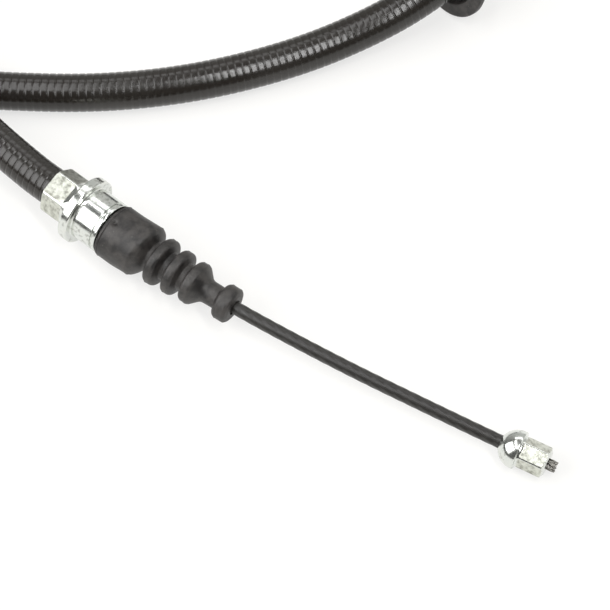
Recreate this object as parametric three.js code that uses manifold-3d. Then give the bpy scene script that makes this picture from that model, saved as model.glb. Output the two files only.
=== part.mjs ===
// A parking brake cable that lies on a table: a ribbed conduit in a loop of two turns, with a
// ferrule at each end, and an inner wire that slides through it. The front end has a rubber
// bellows and a domed nipple. Units are millimetres, +Z is up and the table is at z = 0.

import * as THREE from 'three';
import { mergeVertices } from 'three/addons/utils/BufferGeometryUtils.js';
import Module from 'manifold-3d';

const wasm = await Module();
wasm.setup();

// Conduit: a jacket round coiled steel round a liner.
const conduitDiameter = 10;
const jacketWall = 0.9;
const armourWall = 0.6;
const linerWall = 0.5;
const layerGap = 0.3; // between pieces that touch
const conduitSides = 8;
const conduitStep = 24; // length of one straight step of the conduit
const conduitHeight = 5.2; // its middle above the table where it lies flat

// Inner wire: a strand in a plastic coat.
const coatDiameter = 3.45;
const strandDiameter = 2.1;
const cutEndDiameter = 2.8; // where the cut strand spreads
const cutEndLength = 1.85; // how far the cut strand stands out of a nipple
const wireSides = 8;
const wireStep = 8; // length of one straight step of the exposed wire

// Crimps and cuts.
const crimpFlats = 6;
const cutClear = 0.4; // how far a cut runs past what it cuts

// Travel of the inner wire, measured at the front end.
const pullOut = 12;
const pushIn = 6;
const endPlay = 1.5; // what is left between the wire's runs inside the conduit
const insideReach = 12; // how far behind each collar the moving runs start

// Ferrules. Every length is along the axis, with zero at the collar's front face.
const seatDepth = 0.6; // from the collar's front face to the shoulder the conduit stops at
const guideOverhang = 1; // how far the guide tube stands out of the nose
const guideSides = 16;
const frontFerrule = {
  collarRadius: 9.1,
  collarWidth: 2.6,
  crimpRadius: 6.5,
  crimpLength: 8.45,
  flatLength: 5.8,
  flatHeight: 5.75, // from the axis to each flat
  flatRunOut: 2.4, // how far a flat takes to run out to the round body
  flatTurn: 16, // degrees of the first flat from the top
  noseRadius: 7.1,
  grooveStart: 6.2,
  grooveWidth: 0.5,
  grooveDepth: 0.4,
  noseLength: 7.7,
  seatRadius: 5.5, // the boot sits on this
  seatLength: 5.8,
  edge: 0.35,
  segments: 32,
};
const rearFerrule = {
  ...frontFerrule,
  segments: 24,
  flatTurn: 0,
  collarRadius: 8,
  noseRadius: 6.3,
  noseLength: 5,
  grooveStart: 3.6,
  seatRadius: 5,
  seatLength: 5,
};

// Front boot, on the front ferrule's seat. Places are along the boot, from its mouth.
const bootBend = 5; // where it turns from the ferrule's axis towards the wire
const bootTipPoint = 3; // which of the exposed wire's points it turns to
const bootBarrel = {
  radius: 7.4,
  end: 11.2,
  lip: 0.5,
  wall: 1.1,
  shoulder: 1.8, // length that the far edge is rounded over
  shoulderDrop: 0.6,
};
const bootFoldPitch = 5;
const bootFirstFold = 15.3;
const bootFoldRadii = [6.5, 6.1, 5.65];
const bootValleyRadii = [3.9, 3.75, 3.6];
const bootFoldWidth = 2.4;
const bootFoldRound = 0.8; // how much lower a fold's edges are than its crest
const bootFoldWall = 1;
const bootNeckRadius = 3;
const bootNeckStart = 29.4;
const bootRing = { start: 33, end: 37.6, radius: 4.65, round: 1.2 };
const bootSides = 20;

// Nipples, with zero at the centre of the dome.
const frontNipple = { domeRadius: 4.93, domeFlat: 0.7, shankRadius: 4, shankLength: 6.75 };
const nippleFlat = { height: 3.55, shoulder: 0.6, runOut: 0.1, turn: 22 };
const nippleCone = { length: 0.6, radius: 2.9 };
const nippleSocket = 1.6; // how deep the coat goes into a nipple
const nippleSegments = 24;
const rearNipple = { radius: 4, length: 9, edge: 0.6 };
const rearWireLength = 78; // from the rear nose to the rear nipple
const rearWireSag = [[0.25, 0.02], [0.5, 0.45], [0.75, 0.95], [0.9, 1]]; // share of way, of drop

// Rear seal: a plain rubber cap on the rear nose.
const sealLength = 12;
const sealWall = 1.3;

// Grommet with a slanted flange, on the conduit.
const grommet = {
  flangeRadius: 11.6,
  mouthRadius: 7.9,
  mouthDepth: 1.2,
  mouthTaper: 0.5,
  depth: 3.2,
  edge: 0.6,
  tilt: 18, // degrees between the flange and the sleeve
  neck: 3, // from the flange's back to the sleeve
  sleeve: 12, // from the mouth to the sleeve's end
  sleeveWall: 1.6,
  sides: 24,
};

// Hanger: a rubber saddle round the conduit with a lug that has an eye.
const hanger = {
  length: 9,
  wall: 1.9,
  lugRadius: 3.4,
  lugHeight: 7.4,
  lugReach: 1.5, // from the saddle's end to the eye
  eyeRadius: 1.8,
  eyeOffset: 0.8, // from the lug's middle, away from the conduit
  sides: 24,
};

// Places on the table, as points of x, y and height. The front ferrule points away from the
// conduit along its heading in degrees.
const frontCollar = [-54.5, 21.6, frontFerrule.collarRadius];
const frontHeading = -39.6;
const rearCollar = [-49, 241, rearFerrule.collarRadius];
const rearHeading = 8;
const grommetPlace = [37.9, 92.6, 11.6]; // near these points of the conduit
const hangerPlace = [-87.3, 62.1, conduitHeight];
const planCentre = [-14.7, 104]; // what becomes the origin

// The exposed wire from the front nose to the front nipple's dome, point by point.
const frontWirePoints = [
  [-46.0, 14.6, 9.1],
  [-36.0, 7.1, 8.85],
  [-27.4, 1.35, 8.5],
  [-17.5, -5.3, 8.15],
  [-6.7, -11.9, 7.7],
  [10.8, -21.9, 6.9],
  [28.4, -31.3, 6.1],
  [45.9, -40.4, 5.25],
  [51.75, -43.37, 4.97],
];

// The conduit from the front ferrule to the rear one, after its straight start.
const conduitPoints = [
  [-87.5, 50.9, 11.4],
  [-101.5, 66.5, 16.2],
  [-110.5, 84.0, 13.6],
  [-115.5, 105.0, 8.8],
  [-116.5, 128.0, 6.0],
  [-113.0, 155.0, 5.3],
  [-101.0, 184.0, 5.2],
  [-78.0, 209.0, 5.2],
  [-46.0, 223.5, 5.2],
  [-10.0, 225.0, 5.2],
  [23.0, 214.0, 5.2],
  [48.0, 191.0, 5.3],
  [60.5, 161.0, 6.0],
  [59.5, 130.0, 8.4],
  [49.0, 104.5, 11.0],
  [37.9, 92.6, 11.6],
  [24.8, 83.3, 9.4],
  [9.1, 76.1, 6.3],
  [-6.5, 70.0, 5.3],
  [-27.3, 64.0, 5.2],
  [-48.0, 60.9, 5.2],
  [-68.7, 60.5, 5.2],
  [-92.0, 62.8, 5.2],
  [-113.0, 71.0, 5.2],
  [-127.0, 87.0, 5.2],
  [-134.0, 112.0, 5.2],
  [-135.0, 140.0, 5.2],
  [-130.5, 169.0, 5.2],
  [-120.5, 195.0, 5.3],
  [-105.5, 217.0, 5.8],
  [-90.0, 230.3, 6.9],
];

const conduitRadius = conduitDiameter / 2;
const coatRadius = coatDiameter / 2;
const armourRadius = conduitRadius - jacketWall - layerGap;
const linerRadius = armourRadius - armourWall - layerGap;
const linerBore = linerRadius - linerWall;
const strandBore = strandDiameter / 2 + layerGap;
const nippleMouth = coatRadius + layerGap;
const crimpBack = (ferrule) => ferrule.collarWidth + ferrule.crimpLength;
const conduitEnd = -seatDepth - layerGap; // where the conduit stops in a ferrule
const noseEnd = (ferrule) => ferrule.noseLength + ferrule.seatLength;
const straightRun = (travel) => insideReach + travel; // of conduit that the wire's run slides in

// The point at a distance from a place along a level heading in degrees.
function along(place, heading, distance) {
  const turn = THREE.MathUtils.degToRad(heading);
  return new THREE.Vector3(
    place[0] + distance * Math.cos(turn),
    place[1] + distance * Math.sin(turn),
    place[2],
  );
}

function curveThrough(points) {
  return new THREE.CatmullRomCurve3(points, false, 'centripetal');
}

// Solids go to the library that cuts and joins them, and back.
function toSolid(geometry) {
  const bare = geometry.clone();
  bare.deleteAttribute('normal');
  bare.deleteAttribute('uv');
  const merged = mergeVertices(bare, 1e-4);
  const mesh = new wasm.Mesh({
    numProp: 3,
    vertProperties: new Float32Array(merged.attributes.position.array),
    triVerts: new Uint32Array(merged.index.array),
  });
  return new wasm.Manifold(mesh);
}

function toGeometry(solid) {
  const mesh = solid.getMesh();
  const geometry = new THREE.BufferGeometry();
  geometry.setAttribute('position', new THREE.BufferAttribute(mesh.vertProperties, 3));
  geometry.setIndex(new THREE.BufferAttribute(mesh.triVerts, 1));
  return geometry;
}

// A profile of [place along the axis, radius] revolved round the X axis.
function turned(profile, segments) {
  const points = profile.map(([x, radius]) => new THREE.Vector2(radius, x));
  const geometry = new THREE.LatheGeometry(points, segments);
  return geometry.rotateZ(-Math.PI / 2);
}

// A round section, with a bore if it has one, carried along a curve.
function tubeAlong(curve, radius, bore, sides, steps) {
  const section = new THREE.Shape(circlePoints(radius, sides));
  if (bore > 0) {
    section.holes.push(new THREE.Path(circlePoints(bore, sides).reverse()));
  }
  return new THREE.ExtrudeGeometry(section, { steps, extrudePath: curve, bevelEnabled: false });
}

function circlePoints(radius, sides) {
  return Array.from({ length: sides }, (_, i) => {
    const turn = (2 * Math.PI * i) / sides;
    return new THREE.Vector2(radius * Math.cos(turn), radius * Math.sin(turn));
  });
}

// Rings joined one after another, the last back to the first. Each ring has a centre, the
// direction that it faces and a radius.
function ringLoft(rings, sides) {
  const positions = [];
  const index = [];
  rings.forEach(({ centre, facing, radius }, row) => {
    const across = new THREE.Vector3(-facing.y, facing.x, 0).normalize();
    const up = new THREE.Vector3().crossVectors(facing, across).normalize();
    for (let i = 0; i < sides; i += 1) {
      const turn = (2 * Math.PI * i) / sides;
      const point = centre.clone();
      point.addScaledVector(across, radius * Math.cos(turn));
      point.addScaledVector(up, radius * Math.sin(turn));
      positions.push(point.x, point.y, point.z);
      const next = (i + 1) % sides;
      const here = row * sides;
      const there = ((row + 1) % rings.length) * sides;
      index.push(here + i, here + next, there + next);
      index.push(here + i, there + next, there + i);
    }
  });
  const geometry = new THREE.BufferGeometry();
  geometry.setAttribute('position', new THREE.Float32BufferAttribute(positions, 3));
  geometry.setIndex(index);
  return geometry;
}

// A piece on the conduit is drawn with a bore too small for it, and the conduit's own room is
// then cut out of it, so that its bore follows every step of the conduit.
const pilotBore = 0.7 * conduitRadius;

function conduitRoom() {
  const room = conduitRadius + layerGap / Math.cos(Math.PI / conduitSides);
  return toSolid(tubeAlong(route, room, 0, conduitSides, routeSteps));
}

// A tool that cuts one crimped flat: level over the flat, then a curve that runs out of the
// round body. It lies along X, and cuts what is above the flat's height.
function flatCutter(height, start, end, runOut, radius) {
  const top = radius + cutClear;
  const shape = new THREE.Shape();
  shape.moveTo(start, height);
  shape.lineTo(end, height);
  shape.quadraticCurveTo(end + runOut / 2, height, end + runOut, top);
  shape.lineTo(start, top);
  const width = 4 * height;
  const options = { depth: width, bevelEnabled: false, curveSegments: 5 };
  const cutter = new THREE.ExtrudeGeometry(shape, options);
  return cutter.translate(0, 0, -width / 2);
}

function cutFlats(solid, cutter, firstTurn) {
  let cut = solid;
  for (let i = 0; i < crimpFlats; i += 1) {
    const turn = THREE.MathUtils.degToRad(firstTurn + (i * 360) / crimpFlats);
    cut = cut.subtract(toSolid(cutter.clone().rotateX(turn)));
  }
  return cut;
}

function ferrule(size) {
  const back = -crimpBack(size);
  const { collarRadius, collarWidth, noseRadius, edge, grooveStart, grooveWidth } = size;
  const grooveRadius = noseRadius - size.grooveDepth;
  const conduitBore = conduitRadius + layerGap;
  const guideBore = linerRadius + layerGap;
  const body = turned([
    [back, conduitBore],
    [back, size.crimpRadius - edge],
    [back + edge, size.crimpRadius],
    [-collarWidth, size.crimpRadius],
    [-collarWidth, collarRadius - edge],
    [-collarWidth + edge, collarRadius],
    [-edge, collarRadius],
    [0, collarRadius - edge],
    [0, noseRadius],
    [grooveStart, noseRadius],
    [grooveStart, grooveRadius],
    [grooveStart + grooveWidth, grooveRadius],
    [grooveStart + grooveWidth, noseRadius],
    [size.noseLength - edge, noseRadius],
    [size.noseLength, noseRadius - edge],
    [size.noseLength, size.seatRadius],
    [noseEnd(size) - edge, size.seatRadius],
    [noseEnd(size), size.seatRadius - edge],
    [noseEnd(size), guideBore],
    [-seatDepth, guideBore],
    [-seatDepth, conduitBore],
    [back, conduitBore],
  ], size.segments);
  const flatEnd = back + size.flatLength;
  const cutter = flatCutter(
    size.flatHeight, back - cutClear, flatEnd, size.flatRunOut, size.crimpRadius);
  return toGeometry(cutFlats(toSolid(body), cutter, size.flatTurn));
}

function guideTube(size) {
  return turned([
    [-seatDepth, linerBore],
    [-seatDepth, linerRadius],
    [noseEnd(size) + guideOverhang, linerRadius],
    [noseEnd(size) + guideOverhang, linerBore],
    [-seatDepth, linerBore],
  ], guideSides);
}

// The boot's section as [place from the mouth, radius]: outside from the mouth to the tip, then
// inside back to the mouth.
function bootSection() {
  const { radius, end, lip, wall, shoulder, shoulderDrop } = bootBarrel;
  const outer = [
    [0, radius - lip], [lip, radius], [end - shoulder, radius], [end, radius - shoulderDrop],
  ];
  const inner = [[0, frontFerrule.seatRadius + layerGap], [end - shoulder, radius - wall]];
  bootFoldRadii.forEach((crest, i) => {
    const middle = bootFirstFold + i * bootFoldPitch;
    const valley = bootValleyRadii[i];
    outer.push([middle - bootFoldPitch / 2, valley]);
    outer.push([middle - bootFoldWidth / 2, crest - bootFoldRound]);
    outer.push([middle - bootFoldWidth / 4, crest]);
    outer.push([middle + bootFoldWidth / 4, crest]);
    outer.push([middle + bootFoldWidth / 2, crest - bootFoldRound]);
    inner.push([middle - bootFoldPitch / 2, valley - bootFoldWall]);
    inner.push([middle, crest - bootFoldWall - layerGap]);
  });
  const neckBore = coatRadius + layerGap;
  const ring = bootRing;
  outer.push([bootNeckStart, bootNeckRadius], [ring.start, bootNeckRadius]);
  outer.push([ring.start + ring.round, ring.radius - ring.round / 2]);
  outer.push([ring.start + 2 * ring.round, ring.radius]);
  outer.push([ring.end - ring.round, ring.radius], [ring.end, ring.radius - ring.round]);
  inner.push([bootNeckStart, neckBore], [ring.end, neckBore]);
  return [...outer, ...inner.reverse()];
}

function sectionAlong(curve, section, sides) {
  const length = curve.getLength();
  const rings = section.map(([place, radius]) => {
    const at = place / length;
    return { centre: curve.getPointAt(at), facing: curve.getTangentAt(at), radius };
  });
  return ringLoft(rings, sides);
}

function domedNipple(bore, socket) {
  const { domeRadius, domeFlat, shankRadius, shankLength } = frontNipple;
  const coneStart = domeFlat + shankLength;
  const profile = [];
  const mouthTurn = Math.asin(socket / domeRadius);
  const arcSteps = 8;
  for (let i = 0; i <= arcSteps; i += 1) {
    const turn = mouthTurn + ((Math.PI / 2 - mouthTurn) * i) / arcSteps;
    profile.push([-domeRadius * Math.cos(turn), domeRadius * Math.sin(turn)]);
  }
  const socketEnd = profile[0][0] + nippleSocket;
  profile.push(
    [domeFlat, domeRadius],
    [domeFlat, shankRadius],
    [coneStart, shankRadius],
    [coneStart + nippleCone.length, nippleCone.radius],
    [coneStart + nippleCone.length, bore],
    [socketEnd, bore],
    [socketEnd, socket],
    [...profile[0]],
  );
  const solid = toSolid(turned(profile, nippleSegments));
  const flat = nippleFlat;
  const flatEnd = coneStart + nippleCone.length + cutClear;
  const cutter = flatCutter(
    flat.height, domeFlat + flat.shoulder, flatEnd, flat.runOut, shankRadius);
  return toGeometry(cutFlats(solid, cutter, flat.turn));
}

function plainNipple(bore, socket) {
  const { radius, length, edge } = rearNipple;
  return turned([
    [0, socket], [0, radius - edge], [edge, radius], [length - edge, radius],
    [length, radius - edge], [length, bore], [nippleSocket, bore], [nippleSocket, socket],
    [0, socket],
  ], nippleSegments);
}

function rearSealShape() {
  const inside = rearFerrule.seatRadius + layerGap;
  const outside = inside + sealWall;
  const bore = coatRadius + layerGap;
  const hollowEnd = rearFerrule.seatLength + 2 * guideOverhang;
  return turned([
    [0, inside], [0, outside], [hollowEnd, outside], [sealLength, bore + sealWall],
    [sealLength, bore], [hollowEnd, bore], [hollowEnd, inside], [0, inside],
  ], bootSides);
}

// The grommet: a sleeve on the conduit that widens to a slanted flange with an open mouth.
function grommetShape(curve, place) {
  const length = curve.getLength();
  const centre = curve.getPointAt(place);
  const tangent = curve.getTangentAt(place);
  const back = tangent.clone().negate();
  const level = new THREE.Vector3(-tangent.y, tangent.x, 0).normalize();
  const slanted = tangent.clone();
  slanted.applyAxisAngle(level, THREE.MathUtils.degToRad(-grommet.tilt));
  const { flangeRadius, mouthRadius, depth, edge, neck, sleeve } = grommet;
  const sleeveRadius = conduitRadius + layerGap + grommet.sleeveWall;
  const sleeveRing = (distance, radius) => {
    const at = place - distance / length;
    return { centre: curve.getPointAt(at), facing: curve.getTangentAt(at), radius };
  };
  const flangeRing = (distance, radius) => {
    return { centre: centre.clone().addScaledVector(back, distance), facing: slanted, radius };
  };
  const rings = [
    sleeveRing(sleeve, sleeveRadius),
    sleeveRing(depth + neck, sleeveRadius),
    flangeRing(depth - edge / 2, flangeRadius - 1.5 * edge),
    flangeRing(depth / 2, flangeRadius),
    flangeRing(edge, flangeRadius),
    flangeRing(0, flangeRadius - edge),
    flangeRing(0, mouthRadius),
    flangeRing(grommet.mouthDepth, mouthRadius - grommet.mouthTaper),
    sleeveRing(depth + neck + layerGap, pilotBore),
    sleeveRing(sleeve, pilotBore),
  ];
  return toGeometry(toSolid(ringLoft(rings, grommet.sides)).subtract(conduitRoom()));
}

// The hanger lies with its axis along the conduit, and its underside is cut level with the table.
function hangerShape(group) {
  const { length, lugRadius, lugHeight, eyeRadius, sides } = hanger;
  const half = length / 2;
  const radius = conduitRadius + layerGap + hanger.wall;
  const saddle = toSolid(turned([
    [-half, pilotBore], [-half, radius], [half, radius], [half, pilotBore], [-half, pilotBore],
  ], sides));
  const reach = half + hanger.lugReach;
  const arm = new THREE.BoxGeometry(reach, lugRadius, lugHeight);
  arm.translate(reach / 2, conduitRadius + lugRadius / 2, 0);
  const lug = new THREE.CylinderGeometry(lugRadius, lugRadius, lugHeight, sides);
  lug.rotateX(Math.PI / 2).translate(reach, conduitRadius, 0);
  const eye = new THREE.CylinderGeometry(eyeRadius, eyeRadius, 2 * lugHeight, sides);
  eye.rotateX(Math.PI / 2).translate(reach, conduitRadius + hanger.eyeOffset, 0);
  const floor = new THREE.BoxGeometry(4 * length, 4 * radius, radius);
  floor.translate(0, 0, -group.position.z - radius / 2);
  const joined = saddle.add(toSolid(arm)).add(toSolid(lug));
  const trimmed = toGeometry(joined.subtract(toSolid(eye)).subtract(toSolid(floor)));
  group.updateMatrix();
  const placed = toSolid(trimmed.applyMatrix4(group.matrix)).subtract(conduitRoom());
  return toGeometry(placed).applyMatrix4(group.matrix.clone().invert());
}

function material(color, roughness, metalness) {
  return new THREE.MeshStandardMaterial({ color, roughness, metalness });
}

const zinc = () => material(0xc9cdcb, 0.3, 1);
const rubber = () => material(0x3a3a39, 0.75, 0);
const ribbedPlastic = () => material(0x2c2a29, 0.5, 0);
const coatPlastic = () => material(0x262524, 0.45, 0);
const steelStrand = () => material(0x6d6a66, 0.45, 1);
const springSteel = () => material(0x8a8883, 0.4, 1);
const whitePlastic = () => material(0xe7e4da, 0.5, 0);

// The whole cable hangs in one group that puts the origin under the middle of its own pieces.
const cable = new THREE.Group();
cable.position.set(-planCentre[0], -planCentre[1], 0);

function place(name, geometry, finish, parent = cable) {
  const mesh = new THREE.Mesh(geometry, finish);
  mesh.name = name;
  parent.add(mesh);
  return mesh;
}

// A fitting's own group, with X along its axis and its zero at the given point.
function axisGroup(point, direction) {
  const group = new THREE.Group();
  const across = new THREE.Vector3(-direction.y, direction.x, 0).normalize();
  const up = new THREE.Vector3().crossVectors(direction, across);
  group.quaternion.setFromRotationMatrix(new THREE.Matrix4().makeBasis(direction, across, up));
  group.position.copy(point);
  cable.add(group);
  return group;
}

function headingOf(degrees) {
  const turn = THREE.MathUtils.degToRad(degrees);
  return new THREE.Vector3(Math.cos(turn), Math.sin(turn), 0);
}

const frontAt = (distance) => along(frontCollar, frontHeading, distance);
const rearAt = (distance) => along(rearCollar, rearHeading, distance);

// Conduit, in three layers that share one route.
const route = curveThrough([
  frontAt(conduitEnd),
  frontAt(conduitEnd - straightRun(pushIn) / 2),
  frontAt(conduitEnd - straightRun(pushIn)),
  ...conduitPoints.map((point) => new THREE.Vector3(...point)),
  rearAt(conduitEnd - straightRun(pullOut)),
  rearAt(conduitEnd - straightRun(pullOut) / 2),
  rearAt(conduitEnd),
]);
route.arcLengthDivisions = 2000;
const routeLength = route.getLength();
const routeSteps = Math.round(routeLength / conduitStep);
const conduitLayers = [
  ['conduit_jacket', conduitRadius, jacketWall, ribbedPlastic()],
  ['conduit_armour', armourRadius, armourWall, springSteel()],
  ['conduit_liner', linerRadius, linerWall, whitePlastic()],
];
for (const [name, radius, wall, finish] of conduitLayers) {
  place(name, tubeAlong(route, radius, radius - wall, conduitSides, routeSteps), finish);
}

// Front end.
const frontGroup = axisGroup(frontAt(0), headingOf(frontHeading));
place('front_ferrule', ferrule(frontFerrule), zinc(), frontGroup);
place('front_guide_tube', guideTube(frontFerrule), whitePlastic(), frontGroup);

const dome = new THREE.Vector3(...frontWirePoints.at(-1));
const beforeDome = new THREE.Vector3(...frontWirePoints.at(-2));
const domeDirection = dome.clone().sub(beforeDome).normalize();
const frontNippleEnd = frontNipple.domeFlat + frontNipple.shankLength + nippleCone.length;
const coatStop = -frontNipple.domeRadius + nippleSocket - layerGap;
const frontWireStart = [frontAt(-insideReach), frontAt(0)];
const frontExposed = frontWirePoints.slice(0, -1).map((point) => new THREE.Vector3(...point));
const atDome = (distance) => dome.clone().addScaledVector(domeDirection, distance);
const frontCoatCurve = curveThrough([...frontWireStart, ...frontExposed, atDome(coatStop)]);
const coatSteps = Math.round(frontCoatCurve.getLength() / wireStep);
place(
  'front_wire_coating',
  tubeAlong(frontCoatCurve, coatRadius, strandBore, wireSides, coatSteps),
  coatPlastic());

function strandWithCutEnd(points, endPoint, direction) {
  const tip = endPoint.clone().addScaledVector(direction, layerGap);
  const inTip = tip.clone().addScaledVector(direction, cutEndLength / 2);
  const curve = curveThrough([...points, inTip]);
  const steps = Math.round(curve.getLength() / wireStep);
  const run = toSolid(tubeAlong(curve, strandDiameter / 2, 0, wireSides, steps));
  const end = turned(
    [[0, 0], [0, cutEndDiameter / 2], [cutEndLength, cutEndDiameter / 2], [cutEndLength, 0]],
    wireSides);
  const across = new THREE.Vector3(-direction.y, direction.x, 0).normalize();
  const up = new THREE.Vector3().crossVectors(direction, across);
  end.applyMatrix4(new THREE.Matrix4().makeBasis(direction, across, up).setPosition(tip));
  return toGeometry(run.add(toSolid(end)));
}

place(
  'front_strand',
  strandWithCutEnd(
    [...frontWireStart, ...frontExposed, dome.clone(), atDome(frontNippleEnd / 2)],
    atDome(frontNippleEnd), domeDirection),
  steelStrand());

const nippleGroup = axisGroup(dome, domeDirection);
place(
  'front_nipple',
  domedNipple(strandBore, nippleMouth),
  zinc(), nippleGroup);

const bootMouth = frontFerrule.noseLength + layerGap;
const bootCurve = new THREE.QuadraticBezierCurve3(
  frontAt(bootMouth), frontAt(bootMouth + bootBend), frontExposed[bootTipPoint]);
place('front_boot', sectionAlong(bootCurve, bootSection(), bootSides), rubber());

// Rear end, finished plainly.
const rearGroup = axisGroup(rearAt(0), headingOf(rearHeading));
place('rear_ferrule', ferrule(rearFerrule), zinc(), rearGroup);
place('rear_guide_tube', guideTube(rearFerrule), whitePlastic(), rearGroup);
const rearSeal = place('rear_seal', rearSealShape(), rubber(), rearGroup);
rearSeal.position.x = rearFerrule.noseLength + layerGap;

const rearDrop = rearFerrule.collarRadius - rearNipple.radius;
const rearNose = noseEnd(rearFerrule) + guideOverhang;
const rearNippleFace = rearAt(rearNose + rearWireLength).setZ(rearNipple.radius);
const rearWire = [rearAt(-insideReach), rearAt(0), rearAt(rearNose)];
for (const [share, dropShare] of rearWireSag) {
  const point = rearAt(rearNose + rearWireLength * share);
  rearWire.push(point.setZ(rearFerrule.collarRadius - rearDrop * dropShare));
}
const rearDirection = headingOf(rearHeading);
const atRearNipple = (distance) => {
  return rearNippleFace.clone().addScaledVector(rearDirection, distance);
};
const rearCoatCurve = curveThrough([...rearWire, atRearNipple(nippleSocket - layerGap)]);
const rearCoatSteps = Math.round(rearCoatCurve.getLength() / wireStep);
place(
  'rear_wire_coating',
  tubeAlong(rearCoatCurve, coatRadius, strandBore, wireSides, rearCoatSteps),
  coatPlastic());
place(
  'rear_strand',
  strandWithCutEnd(
    [...rearWire, atRearNipple(0), atRearNipple(rearNipple.length / 2)],
    atRearNipple(rearNipple.length), rearDirection),
  steelStrand());
place(
  'rear_nipple',
  plainNipple(strandBore, nippleMouth),
  zinc(), axisGroup(rearNippleFace, rearDirection));

// The run of strand inside the conduit keeps clear of both moving runs at every place of their
// travel, so its ends are cut back from the ferrules.
function endRoom(group, travel) {
  const reach = insideReach + travel + endPlay;
  const room = turned(
    [[-reach, 0], [-reach, linerRadius], [insideReach, linerRadius], [insideReach, 0]],
    guideSides);
  group.updateMatrix();
  return toSolid(room.applyMatrix4(group.matrix));
}

function middleRun(radius, bore) {
  const whole = toSolid(tubeAlong(route, radius, bore, conduitSides, routeSteps));
  const run = whole.subtract(endRoom(frontGroup, pushIn));
  return toGeometry(run.subtract(endRoom(rearGroup, pullOut)));
}

place('middle_wire_coating', middleRun(coatRadius, strandBore), coatPlastic());
place('middle_strand', middleRun(strandDiameter / 2, 0), steelStrand());

// Pieces on the conduit.
function nearestPlace(point) {
  const target = new THREE.Vector3(...point);
  const samples = 1500;
  let best = 0;
  let least = Infinity;
  for (let i = 0; i <= samples; i += 1) {
    const distance = route.getPointAt(i / samples).distanceTo(target);
    if (distance < least) {
      least = distance;
      best = i / samples;
    }
  }
  return best;
}

place('panel_grommet', grommetShape(route, nearestPlace(grommetPlace)), rubber());
const hangerAt = nearestPlace(hangerPlace);
const hangerGroup = axisGroup(route.getPointAt(hangerAt), route.getTangentAt(hangerAt).negate());
place('hanger_clip', hangerShape(hangerGroup), rubber(), hangerGroup);

export default cable;
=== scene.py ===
# %% [markdown]
# # A parking brake cable on a pale table
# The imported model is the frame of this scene: it gives every place and size. The cells below
# dress it. Each piece is a surface worked out with numpy: a profile carried along a path.

# %% Frame
import math

import bmesh
import bpy
import numpy as np
from mathutils import Matrix, Vector


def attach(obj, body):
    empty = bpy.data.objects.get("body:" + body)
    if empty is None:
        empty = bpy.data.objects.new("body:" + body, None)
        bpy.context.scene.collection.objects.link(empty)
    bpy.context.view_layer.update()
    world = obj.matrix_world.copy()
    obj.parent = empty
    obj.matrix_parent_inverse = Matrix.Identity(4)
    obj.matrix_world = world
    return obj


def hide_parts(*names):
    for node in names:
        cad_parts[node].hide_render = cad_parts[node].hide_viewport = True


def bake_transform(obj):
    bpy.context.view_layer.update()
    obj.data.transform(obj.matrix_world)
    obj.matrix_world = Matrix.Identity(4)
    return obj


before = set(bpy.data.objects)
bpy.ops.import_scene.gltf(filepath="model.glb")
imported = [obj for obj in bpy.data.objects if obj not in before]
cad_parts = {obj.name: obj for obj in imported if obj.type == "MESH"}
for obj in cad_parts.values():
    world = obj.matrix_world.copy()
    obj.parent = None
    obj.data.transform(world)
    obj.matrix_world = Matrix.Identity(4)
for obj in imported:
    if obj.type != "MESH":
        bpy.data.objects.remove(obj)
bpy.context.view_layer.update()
scene = bpy.context.scene

# %% [markdown]
# Sizes are easier to read in millimetres on the plan of the table, so every shape below is
# worked out in those, and moved to the frame's metres when its mesh is made.

# %% Units
MM = 0.001
PLAN_CENTRE = np.array((-14.7, 104.0, 0.0))


def to_frame(points):
    """Plan millimetres less the plan's centre, in metres."""
    return (np.asarray(points, dtype=float) - PLAN_CENTRE) * MM


# %% [markdown]
# The camera looks down at the table from the front, with a long lens, so that lines hardly
# converge. It's set by where it aims, how far away it is and how much of the table it sees.

# %% Camera
CAMERA_AIM = (0.0, 0.0, 0.0)
CAMERA_DISTANCE = 800.0
CAMERA_ELEVATION = math.radians(60.3)
FIELD_WIDTH = 153.27
SENSOR_WIDTH = 36.0

camera_data = bpy.data.cameras.new("camera")
camera_data.sensor_width = SENSOR_WIDTH
camera_data.lens = SENSOR_WIDTH * CAMERA_DISTANCE / FIELD_WIDTH
camera_data.clip_end = 10
camera = bpy.data.objects.new("camera", camera_data)
back_off = np.array((0, -math.cos(CAMERA_ELEVATION), math.sin(CAMERA_ELEVATION)))
camera.location = to_frame(np.array(CAMERA_AIM) + CAMERA_DISTANCE * back_off)
camera.rotation_euler = (math.pi / 2 - CAMERA_ELEVATION, 0, 0)
scene.collection.objects.link(camera)
scene.camera = camera
print("lens:", round(camera_data.lens, 1))

# %% [markdown]
# A cable follows its points as a smooth curve. The curve used here is a centripetal
# Catmull-Rom one: it passes through every point, and its pace follows the square root of the
# distance between them, so it never loops at a short span.

# %% Curves
SAMPLES_PER_SPAN = 32


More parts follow.
